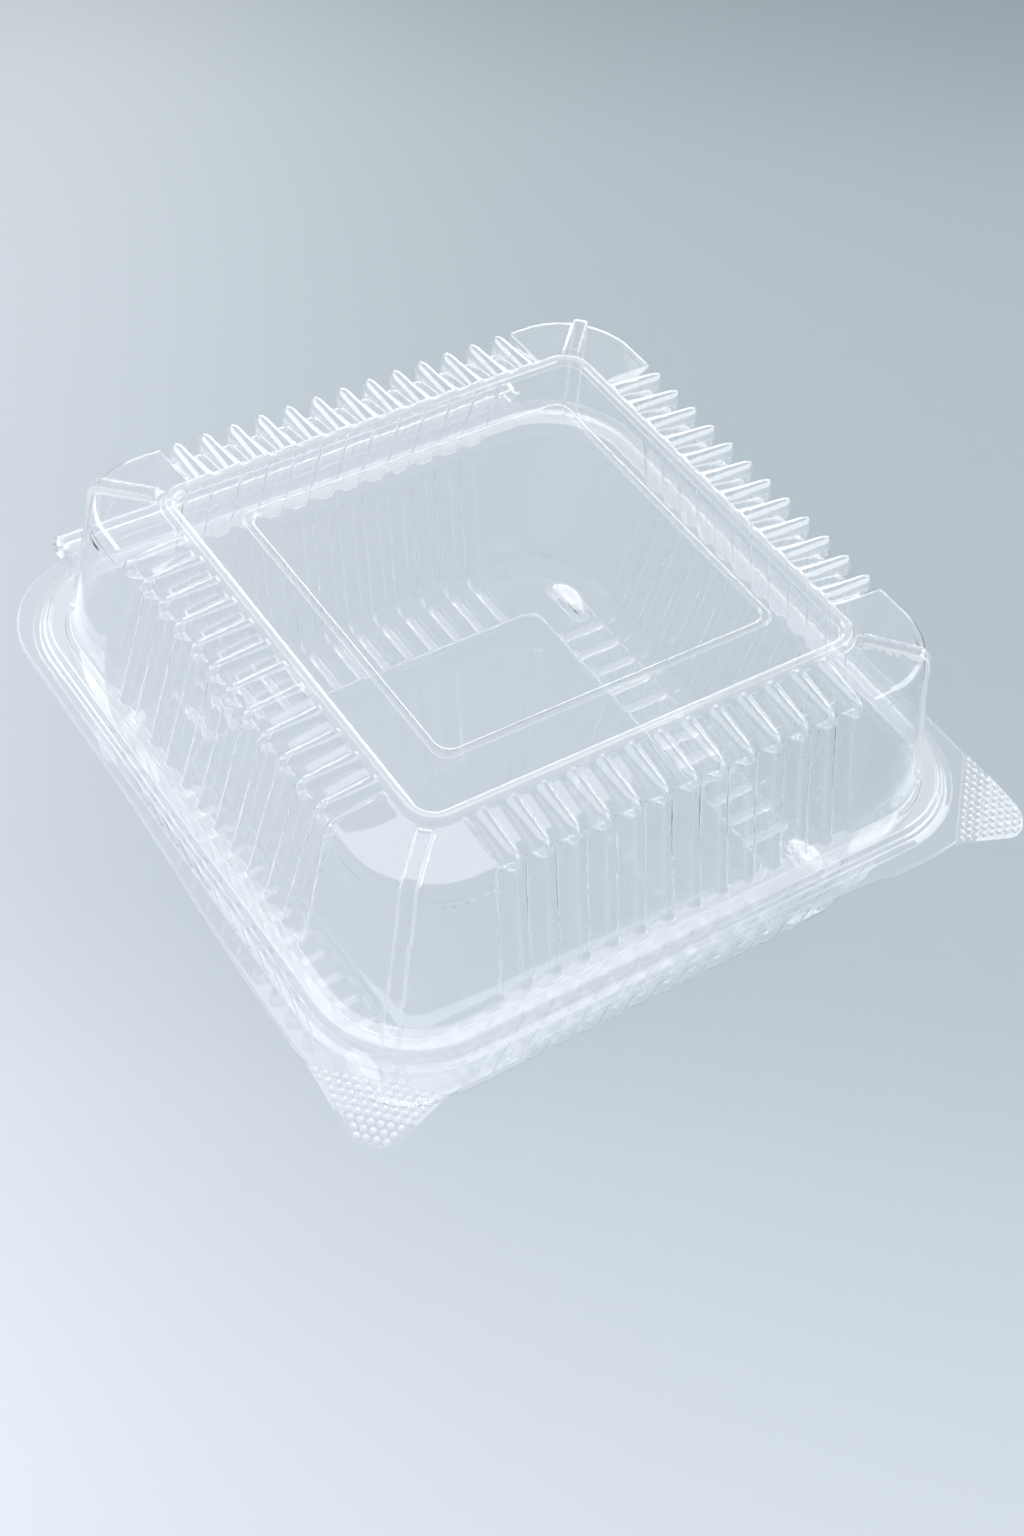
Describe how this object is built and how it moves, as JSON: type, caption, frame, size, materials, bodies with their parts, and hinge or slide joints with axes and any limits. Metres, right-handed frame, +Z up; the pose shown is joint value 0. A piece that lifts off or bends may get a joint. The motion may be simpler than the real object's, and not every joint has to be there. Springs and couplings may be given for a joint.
{
  "type": "hinged clamshell container",
  "caption": "Square clear plastic clamshell: tapered ribbed base tub, matching domed lid with a flat window, folding strip hinge and two finger tabs.",
  "frame": {"origin": "centre of the plane that the feet rest on, under the middle of the tub", "axes": "+Z up, +Y towards the hinge, -Y towards the finger tabs, X along the hinge"},
  "size_m": [0.1714, 0.1774, 0.081],
  "materials": {
    "clear_pet": "clear gloss"
  },
  "bodies": {
    "base": {"base_floor_panel": "clear_pet", "base_floor_channel": "clear_pet", "base_ribs_front": "clear_pet", "base_ribs_back": "clear_pet", "base_ribs_left": "clear_pet", "base_ribs_right": "clear_pet", "base_feet": "clear_pet", "base_walls": "clear_pet", "base_rim": "clear_pet", "base_tab_left": "clear_pet", "base_tab_right": "clear_pet", "base_hinge_leaf": "clear_pet"},
    "spine": {"hinge_spine": "clear_pet"},
    "lid": {"lid_top_panel": "clear_pet", "lid_frame": "clear_pet", "lid_shoulder": "clear_pet", "lid_ribs_front": "clear_pet", "lid_ribs_back": "clear_pet", "lid_ribs_left": "clear_pet", "lid_ribs_right": "clear_pet", "lid_corner_ridges": "clear_pet", "lid_walls": "clear_pet", "lid_rim": "clear_pet", "lid_hinge_leaf": "clear_pet"}
  },
  "joints": [
    {"name": "spine_fold", "type": "hinge", "parent": "base", "child": "spine", "pos_m": [0, 0.0882, 0.04], "axis": [-1, 0, 0], "range_deg": [0, 90]},
    {"name": "lid_fold", "type": "hinge", "parent": "spine", "child": "lid", "pos_m": [0, 0.0882, 0.0432], "axis": [-1, 0, 0], "range_deg": [0, 90]}
  ],
  "couplings": [
    {"joint": "spine_fold", "follows": "lid_fold", "ratio": 1}
  ]
}
